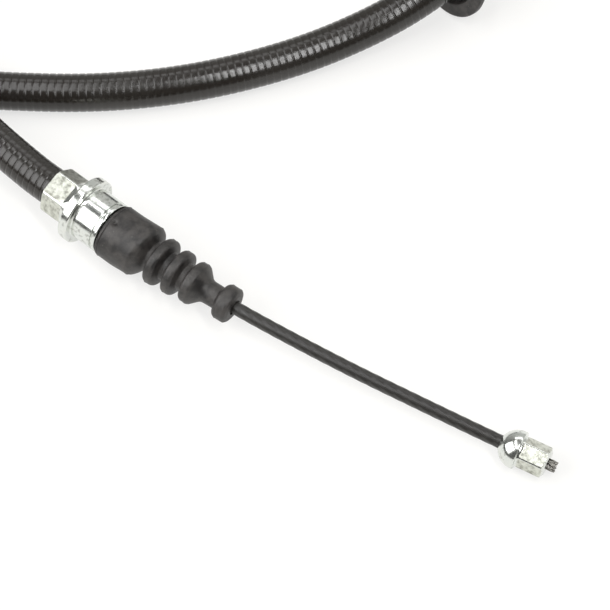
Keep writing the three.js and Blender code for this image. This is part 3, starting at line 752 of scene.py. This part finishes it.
# %% Nipples
DOME = 4.93
SHANK, SHANK_END = 4.0, 7.45
dome_mouth = math.asin(2.0 / DOME)
dome_arc = [(-DOME * math.cos(a), DOME * math.sin(a), 0)
            for a in np.linspace(dome_mouth, math.pi / 2, 26)]
nipple_axis = straight(dome_centre, dome_direction)
front_nipple_mesh = turned_fitting("nipple_front", nipple_axis, [
    (-3.3, 2.0, 0), *dome_arc, (0.7, DOME, 0.25), (0.7, SHANK, 0.2), (SHANK_END, SHANK, 0.15),
    (NIPPLE_END, 3.0, 0.2), (NIPPLE_END, WIRE_BORE, 0), (-3.3, WIRE_BORE, 0)], 192,
    {"height": 3.55, "start": 1.2, "end": NIPPLE_END, "run_out": 1.0, "turn": 22}, 0.25)
make_piece(front_nipple_mesh, "front_core", "zinc_plate", ZINC, "front_nipple")

# %% [markdown]
# The boot is moulded rubber. Old moulded rubber is charcoal rather than black: fillers bloom to
# its surface as a dull haze in patches, with specks of dust.

# %% Rubber material
def moulded_rubber():
    material, tree, shader = start_material("epdm_moulded_bloomed", IOR=1.52)
    where = add_node(tree, "ShaderNodeTexCoord")
    bloom = add_node(tree, "ShaderNodeTexNoise", {
        "Vector": where.outputs["Object"], "Scale": per_mm(3.6), "Detail": 6.0,
        "Roughness": 0.6})
    grain = add_node(tree, "ShaderNodeTexNoise", {
        "Vector": where.outputs["Object"], "Scale": per_mm(0.45), "Detail": 4.0,
        "Roughness": 0.6})
    speck = add_node(tree, "ShaderNodeTexVoronoi", {
        "Vector": where.outputs["Object"], "Scale": per_mm(1.6)})
    haze = add_node(tree, "ShaderNodeMapRange", {
        "Value": bloom.outputs["Fac"], "From Min": 0.4, "From Max": 0.6})
    tone = add_node(tree, "ShaderNodeMix", {
        "Factor": haze.outputs["Result"], "A": colour("#1c1a19"), "B": colour("#3d3a38")},
        data_type="RGBA")
    dust = add_node(tree, "ShaderNodeMapRange", {
        "Value": speck.outputs["Distance"], "From Min": 0.1, "From Max": 0.04, "To Max": 0.3})
    dusty = add_node(tree, "ShaderNodeMix", {
        "Factor": dust.outputs["Result"], "A": tone.outputs["Result"], "B": colour("#8a8680")},
        data_type="RGBA")
    rough = add_node(tree, "ShaderNodeMapRange", {
        "Value": bloom.outputs["Fac"], "To Min": 0.36, "To Max": 0.6})
    bump = add_node(tree, "ShaderNodeBump", {
        "Height": grain.outputs["Fac"], "Strength": 0.3, "Distance": 0.1 * MM})
    finish(tree, shader, dusty, rough, bump)
    return material


RUBBER = moulded_rubber()

# %% [markdown]
# The boot's profile follows the real one: a barrel that grips the ferrule, three folds that get
# smaller, a cone to the neck, and an end ring that grips the wire. It leaves the ferrule along
# its axis and turns to where the wire comes out. The mould's two halves left a thin line of
# flash along both sides, with nibs at the corners, and there is a small pit near the mouth.

# %% Boot shape
BOOT_MOUTH = 8.0
BOOT_BEND = 5.0
BOOT_DROOP = np.array((0.05, -0.1, -0.14))   # it hangs a little low in its fit
BOOT_OUTSIDE = [
    (0, 5.85, 0), (0, 7.0, 0.12), (0.3, 7.32, 0.25), (0.72, 7.32, 0.08), (0.9, 7.16, 0.08),
    (1.1, 7.32, 0.1), (11.4, 7.34, 1.5), (12.4, 4.0, 0.4), (13.4, 3.9, 0.3), (14.2, 6.45, 0.8),
    (16.5, 6.45, 0.9), (17.2, 3.8, 0.4), (18.6, 3.75, 0.3), (19.4, 6.1, 0.8),
    (21.7, 6.1, 0.9), (22.4, 3.65, 0.4), (23.7, 3.6, 0.3), (24.5, 5.65, 0.8),
    (26.7, 5.65, 0.85), (29.3, 3.05, 2.2), (33.2, 3.0, 0.5), (33.8, 4.75, 1.6),
    (37.3, 4.75, 1.75), (37.8, 3.3, 0.35), (37.8, 2.0, 0.12),
]
BOOT_INSIDE = [
    (29.6, 2.0, 0), (26.2, 4.4, 0.3), (23.0, 2.6, 0.3), (20.9, 4.9, 0.3), (18.0, 2.75, 0.3),
    (15.8, 5.2, 0.3), (12.6, 2.9, 0.3), (10.4, 6.2, 0.5),
]
BOOT_COLUMNS = 144
SAG, SAG_TURN = 1.2, math.radians(200)   # the barrel's end leans back on its low side
SAG_START, SAG_FULL, SAG_END, SAG_EASE = 4.0, 10.0, 12.4, 0.8
STILL_END, PULLED_START = 12.5, 33.0     # where the barrel ends and where the end ring starts
RING_SHEAR = 0.8
FLASH_TURN = math.radians(24)
FLASH_WIDTH = math.radians(1.6)
FLASH_HEIGHT = 0.05
NIB_HEIGHT, NIB_LENGTH = 0.16, 0.35
WAVES = [(0.035, 3, 0.5), (0.03, 5, -0.8)]   # height, number round the boot, turn for each mm
NIB_STATIONS = (0.2, 10.7, 14.5, 19.6, 24.5, 26.1, 34.4, 37.2)
PIT = {"station": 1.9, "turn": math.radians(99), "width": 0.6, "depth": 0.8}


def bezier(start, turn, end):
    """The curve (1 - t)^2 start + 2 t (1 - t) turn + t^2 end."""
    t = np.linspace(0, 1, 200)[:, None]
    return curve_table((1 - t) ** 2 * start + 2 * t * (1 - t) * turn + t**2 * end)


boot_curve = bezier(front_at(BOOT_MOUTH) + BOOT_DROOP,
                    front_at(BOOT_MOUTH + BOOT_BEND) + BOOT_DROOP,
                    np.array(FRONT_WIRE_POINTS[3]) + BOOT_DROOP)


def sheared(curve, kept, share):
    """The curve with its rings turned back towards a kept direction, less and less up to its end.

    The share of the kept direction at station s is share * (1 - (s / length)^2)."""
    so_far, places, ahead = curve
    weight = (share * (1 - (so_far / so_far[-1]) ** 2))[:, None]
    facing = (1 - weight) * ahead + weight * kept
    return so_far, places, facing / np.linalg.norm(facing, axis=1)[:, None]


boot_rings = sheared(boot_curve, FRONT_HEADING, RING_SHEAR)


def boot_relief(stations, radius):
    """What is added to the boot's radius: flash lines, nibs, a soft waviness, less the pit.

    The flash is height * exp(-(angle / width)^2) at two opposite angles, and each nib adds to
    it near its station. The pit is depth * exp(-(distance / width)^2)."""
    angle = 2 * np.pi * np.arange(BOOT_COLUMNS)[None, :] / BOOT_COLUMNS
    s = stations[:, None]
    nibs = sum(np.exp(-((s - nib) / NIB_LENGTH) ** 2) for nib in NIB_STATIONS)
    from_flash = (angle - FLASH_TURN + np.pi / 2) % np.pi - np.pi / 2
    flash = (FLASH_HEIGHT + NIB_HEIGHT * nibs) * np.exp(-(from_flash / FLASH_WIDTH) ** 2)
    waves = sum(height * np.sin(count * angle + turn * s) for height, count, turn in WAVES)
    around = (angle - PIT["turn"]) * radius[:, None]
    away = np.hypot(s - PIT["station"], around)
    return flash + waves - PIT["depth"] * np.exp(-(away / PIT["width"]) ** 2)


def barrel_lean(stations):
    """How far each point leans back along the axis: sag * rise(s) * (1 + cos(angle - turn)) / 2.

    The rise goes from 0 to 1 between start and full, and back to 0 at the barrel's end."""
    angle = 2 * np.pi * np.arange(BOOT_COLUMNS) / BOOT_COLUMNS
    rise = np.minimum((stations - SAG_START) / (SAG_FULL - SAG_START),
                      (SAG_END - stations) / SAG_EASE)
    low = (0.5 + 0.5 * np.cos(angle - SAG_TURN))[None, :]
    return SAG * np.clip(rise, 0, 1)[:, None] * low


def boot_mesh():
    line = divided(rounded([*BOOT_OUTSIDE, *BOOT_INSIDE, BOOT_OUTSIDE[0]]), 0.22)[:-1]
    stations, radius = line.T
    outside = (np.arange(len(line)) <= np.argmax(stations))[:, None]
    radii = radius[:, None] + np.where(outside, boot_relief(stations, radius), 0)
    grid = skin(boot_rings, stations, radii, BOOT_COLUMNS)
    grid = grid - barrel_lean(stations)[:, :, None] * FRONT_HEADING
    return make_mesh("boot_bellows", [grid], stations=stations, joined=True)


# %% Boot
boot = make_piece(boot_mesh(), None, "rubber", RUBBER, "front_boot")
boot_still, boot_pulled = to_frame(along(boot_curve, [STILL_END, PULLED_START])[0])
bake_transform(boot)

# %% [markdown]
# The rear end is plain: a rubber cap on the nose, the same coated wire and a plain barrel nipple.

# %% Rear end
REAR_NOSE = 11.0
REAR_WIRE_LENGTH = 78.0
REAR_SAG = [(0.25, 0.02), (0.5, 0.45), (0.75, 0.95), (0.9, 1.0)]
NIPPLE_RADIUS, NIPPLE_LENGTH = 4.0, 9.0
SOCKET = 1.6                # how deep the coat goes into the nipple
rear_drop = REAR_COLLAR[2] - NIPPLE_RADIUS
rear_face = rear_at(REAR_NOSE + REAR_WIRE_LENGTH) - (0, 0, rear_drop)
rear_wire = smooth_curve([
    rear_at(-INSIDE_REACH), rear_at(0), rear_at(REAR_NOSE),
    *(rear_at(REAR_NOSE + REAR_WIRE_LENGTH * way) - (0, 0, rear_drop * drop)
      for way, drop in REAR_SAG),
    rear_face,
])
rear_wire_length = rear_wire[0][-1]
make_piece(coated_wire("wire_cover_rear", rear_wire, 0, rear_wire_length + SOCKET - 0.3),
           "rear_core", "wire_coat", WIRE_COAT, "rear_wire_coating")
rope_piece("rope_rear", rear_wire, rear_wire_length + NIPPLE_LENGTH - HIDDEN_LENGTH,
           rear_face + (NIPPLE_LENGTH - HIDDEN_LENGTH) * REAR_HEADING, REAR_HEADING,
           "rear_core", "rear_strand", 9)
make_piece(turned_fitting("nipple_rear", straight(rear_face, REAR_HEADING), [
    (SOCKET, 2.0, 0), (0, 2.0, 0.1), (0, NIPPLE_RADIUS, 0.6), (NIPPLE_LENGTH, NIPPLE_RADIUS, 0.6),
    (NIPPLE_LENGTH, WIRE_BORE, 0), (SOCKET, WIRE_BORE, 0)], 96),
    "rear_core", "zinc_plate", ZINC, "rear_nipple")
make_piece(turned_fitting("seal_rear", straight(rear_at(5.3), REAR_HEADING), [
    (0, 5.2, 0), (0, 6.6, 0.3), (7.0, 6.6, 1.2), (12.0, 3.4, 0.6), (12.0, 2.0, 0.15),
    (7.0, 2.0, 0.2), (7.0, 5.2, 0)], 72), "sheath", "rubber", RUBBER, "rear_seal")

# %% Grommet
GROMMET_POINT = np.array((37.9, 92.6, 11.6))
GROMMET_TILT = math.radians(18)
GROMMET_SLEEVE = 12.0
SLEEVE_RADIUS = 6.9
SLEEVE_BORE = 5.06
CUP_BACK, CUP_TURN = 6.2, 3.2      # where the sleeve starts to open, and over what length


def grommet_mesh():
    """A sleeve on the conduit that opens into a slanted cup.

    Each point of the profile is (station, radius, share), and it lies between the sleeve's own
    ring and the slanted flange's ring by that share."""
    near = np.argmin(np.linalg.norm(route[1] - GROMMET_POINT, axis=1))
    place = route[0][near]
    centre, ahead = along(route, [place])
    centre, ahead = centre[0], ahead[0]
    level = np.array((-ahead[1], ahead[0], 0)) / np.hypot(*ahead[:2])
    above = np.cross(ahead, level)
    slanted = math.cos(GROMMET_TILT) * ahead + math.sin(GROMMET_TILT) * above
    line = divided(rounded([
        (GROMMET_SLEEVE, SLEEVE_BORE, 0), (GROMMET_SLEEVE, SLEEVE_RADIUS, 0.5),
        (CUP_BACK, SLEEVE_RADIUS, 1.2), (3.0, 10.9, 0.6), (1.7, 11.6, 0.6), (0, 11.6, 0.6),
        (0, 7.9, 0.5), (1.2, 7.3, 0.5), (6.4, SLEEVE_BORE, 0.3),
        (GROMMET_SLEEVE, SLEEVE_BORE, 0)]), 0.4)[:-1]
    distance, radius = line[:, 0], line[:, 1]
    sleeve = skin(route, place - distance, radius, 96)
    flange = skin(straight(centre, slanted), -distance, radius, 96)
    share = np.clip((CUP_BACK - distance) / CUP_TURN, 0, 1)
    share = (share**2 * (3 - 2 * share))[:, None, None]
    return make_mesh("grommet_cup", [sleeve * (1 - share) + flange * share],
                     stations=distance, joined=True)


make_piece(grommet_mesh(), "sheath", "rubber", RUBBER, "panel_grommet")

# %% [markdown]
# The hanger is moulded rubber: a band round the conduit with an ear that has an eye. Its three
# simple closed shapes are merged into one skin on a fine grid, and smoothed where they meet.

# %% Hanger
HANGER_POINT = np.array((-87.3, 62.1, 5.2))
HANGER_LENGTH = 9.0
HANGER_RADIUS = 7.2
EAR_RADIUS, EAR_HEIGHT, EAR_REACH = 3.4, 7.4, 6.0
EAR_BEVEL, EAR_ROUND = 0.8, 0.6
EYE_RADIUS, EYE_OFFSET = 1.8, 0.8
ARM_HALF_WIDTH, ARM_HALF_HEIGHT, ARM_OFFSET = 1.7, 3.4, 1.2
VOXEL, SMOOTHINGS = 0.28, 4
TABLE_GAP = 0.03


def hanger_grids():
    """The band, the ear with its eye, and the arm between them.

    The arm's section is |cos / half width|^6 + |sin / half height|^6 = 1 / radius^6, which is
    a bar with rounded edges."""
    near = route[0][np.argmin(np.linalg.norm(route[1] - HANGER_POINT, axis=1))]
    half = HANGER_LENGTH / 2
    band = divided(rounded([
        (-half, SLEEVE_BORE, 0), (-half, HANGER_RADIUS, 0.5), (half, HANGER_RADIUS, 0.5),
        (half, SLEEVE_BORE, 0), (-half, SLEEVE_BORE, 0)]), 0.4)[:-1]
    saddle = skin(route, near + band[:, 0], band[:, 1], 72)
    centre, ahead = (v[0] for v in along(route, [near]))
    back = -ahead
    side = np.array((-back[1], back[0], 0)) / np.hypot(*back[:2])
    up = np.array((0.0, 0.0, 1.0))
    ear_middle = centre + EAR_REACH * back + CONDUIT_RADIUS * side
    edge = divided(rounded([
        (0, EAR_RADIUS - EAR_BEVEL, 0), (0, EAR_RADIUS, EAR_ROUND),
        (EAR_HEIGHT, EAR_RADIUS, EAR_ROUND), (EAR_HEIGHT, EAR_RADIUS - EAR_BEVEL, 0)]), 0.35)
    low = np.array((0, 0, EAR_HEIGHT / 2))
    wall = skin(straight(ear_middle - low, up), edge[:, 0], edge[:, 1], 64)
    eye_at = np.array((EAR_HEIGHT, 0))
    eye = skin(straight(ear_middle + EYE_OFFSET * side - low, up), eye_at,
               np.full(2, EYE_RADIUS), 64)
    angle = 2 * np.pi * np.arange(48) / 48
    flat_bar = (np.abs(np.cos(angle) / ARM_HALF_WIDTH) ** 6
                + np.abs(np.sin(angle) / ARM_HALF_HEIGHT) ** 6) ** (-1 / 6)
    arm_line = straight(centre + (CONDUIT_RADIUS + ARM_OFFSET) * side, back)
    arm = skin(arm_line, np.linspace(0, EAR_REACH, 8), np.tile(flat_bar, (8, 1)), 48)
    return saddle, np.vstack((wall, eye)), arm


def rest_on_table(grid):
    """The grid with what would lie under the table lifted onto it."""
    lifted = grid.copy()
    lifted[..., 2] = np.maximum(lifted[..., 2], TABLE_GAP)
    return lifted


def merged(name, meshes, voxel, rounds):
    """One skin round several closed meshes, laid on a grid of this many mm and smoothed."""
    joined = bpy.data.meshes.new(name)
    work = bmesh.new()
    for mesh in meshes:
        work.from_mesh(mesh)
    work.to_mesh(joined)
    work.free()
    draft = bpy.data.objects.new(name, joined)
    scene.collection.objects.link(draft)
    skinned = draft.modifiers.new("skin", "REMESH")
    skinned.mode = "VOXEL"
    skinned.voxel_size = voxel * MM
    eased = draft.modifiers.new("ease", "SMOOTH")
    eased.iterations = rounds
    bpy.context.view_layer.update()
    finished = draft.evaluated_get(bpy.context.evaluated_depsgraph_get())
    mesh = bpy.data.meshes.new_from_object(finished)
    mesh.name = name
    mesh.polygons.foreach_set("use_smooth", np.ones(len(mesh.polygons), dtype=bool))
    bpy.data.objects.remove(draft)
    return mesh


saddle_grid, ear_grid, arm_grid = (rest_on_table(grid) for grid in hanger_grids())
hanger = merged("hanger_ear", [
    make_mesh("hanger_band", [saddle_grid], joined=True),
    make_mesh("hanger_eye", [ear_grid], joined=True),
    make_mesh("hanger_arm", [arm_grid])], VOXEL, SMOOTHINGS)
make_piece(hanger, "sheath", "rubber", RUBBER, "hanger_clip")

# %% Nodes that stay
for node in ("front_guide_tube", "rear_guide_tube"):
    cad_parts[node].data.materials.clear()
    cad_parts[node].data.materials.append(LINER)

# %% [markdown]
# The table is a plain pale sheet. It shows as white to the camera and in reflections, and still
# takes the soft shadows of what lies on it.

# %% Table
FLOOR_SIZE = 6.0
GLOW_SHARE = 0.7          # how much of the card's look is plain white rather than lit


def table_material():
    material = bpy.data.materials.new("table_white_card")
    material.use_nodes = True
    tree = material.node_tree
    tree.nodes.clear()
    paths = add_node(tree, "ShaderNodeLightPath")
    seen = add_node(tree, "ShaderNodeMath", {
        0: paths.outputs["Is Camera Ray"], 1: paths.outputs["Is Glossy Ray"]},
        operation="MAXIMUM")
    share = add_node(tree, "ShaderNodeMath", {0: seen.outputs[0], 1: GLOW_SHARE},
                     operation="MULTIPLY")
    card = add_node(tree, "ShaderNodeBsdfDiffuse", {"Color": colour("#f8f6f0")})
    glow = add_node(tree, "ShaderNodeEmission", {"Color": colour("#fdfdfd"), "Strength": 1.0})
    both = add_node(tree, "ShaderNodeMixShader", {
        0: share.outputs[0], 1: card.outputs[0], 2: glow.outputs[0]})
    add_node(tree, "ShaderNodeOutputMaterial", {"Surface": both.outputs[0]})
    return material


floor_mesh = bpy.data.meshes.new("table_top")
half = FLOOR_SIZE / 2
floor_mesh.from_pydata(
    [(-half, -half, 0), (half, -half, 0), (half, half, 0), (-half, half, 0)], [], [(0, 1, 2, 3)])
floor_mesh.materials.append(table_material())
floor = bpy.data.objects.new("table_top", floor_mesh)
scene.collection.objects.link(floor)

# %% [markdown]
# A long soft box hangs over the left half of the table and a broad one stands on the left. They
# give the sheath its row of bright ribs and the metal its white faces. A narrow strip in front
# gives the right half of the sheath its own bright row, and two weak boxes fill the far sides.

# %% Lights
def soft_light(name, place, size, power, long_side):
    """A rectangular light at a place that faces the cable, with its size in metres and the
    level direction that its long side runs in."""
    data = bpy.data.lights.new(name, "AREA")
    data.shape = "RECTANGLE"
    data.size, data.size_y = size
    data.energy = power
    lamp = bpy.data.objects.new(name, data)
    lamp.location = place
    back = Vector(place).normalized()
    short = Vector(long_side).cross(back).normalized()
    lamp.rotation_euler = Matrix((short, back.cross(short), back)).transposed().to_euler()
    scene.collection.objects.link(lamp)


for name, place, size, power, long_side in (
        ("overhead_box", (-0.185, -0.02, 1.1), (0.16, 1.0), 2.2, (0, 1, 0)),
        ("left_box", (-1.02, -0.22, 0.86), (1.15, 1.3), 18.0, (0.2, -1, 0)),
        ("back_box", (0.13, 0.82, 1.0), (0.35, 0.8), 1.6, (1, 0, 0)),
        ("right_fill", (1.3, 0.2, 1.2), (0.8, 0.8), 4.0, (0, 1, 0)),
        ("front_strip", (0.335, -0.48, 1.09), (0.13, 0.9), 6.5, (0.4, -0.9, 0))):
    soft_light(name, place, size, power, long_side)

# %% [markdown]
# The room is dim on the camera's side and paler behind, so the metal also shows dark lines.

# %% Room
def room(dim, pale, behind):
    """A world that goes from dim to pale along a direction, as the walls of a room do."""
    world = bpy.data.worlds.new("studio")
    world.use_nodes = True
    tree = world.node_tree
    where = add_node(tree, "ShaderNodeTexCoord")
    facing = add_node(tree, "ShaderNodeVectorMath", {
        0: where.outputs["Generated"], 1: behind}, operation="DOT_PRODUCT")
    share = add_node(tree, "ShaderNodeMapRange", {
        "Value": facing.outputs["Value"], "From Min": -0.1, "From Max": 0.9})
    wall = add_node(tree, "ShaderNodeMix", {
        "Factor": share.outputs["Result"], "A": colour(dim), "B": colour(pale)},
        data_type="RGBA")
    tree.links.new(wall.outputs["Result"], tree.nodes["Background"].inputs["Color"])
    return world


scene.world = room("#5c5c5b", "#d0d0cd", (0.5, 0.85, -0.1))

scene.view_settings.view_transform = "Standard"
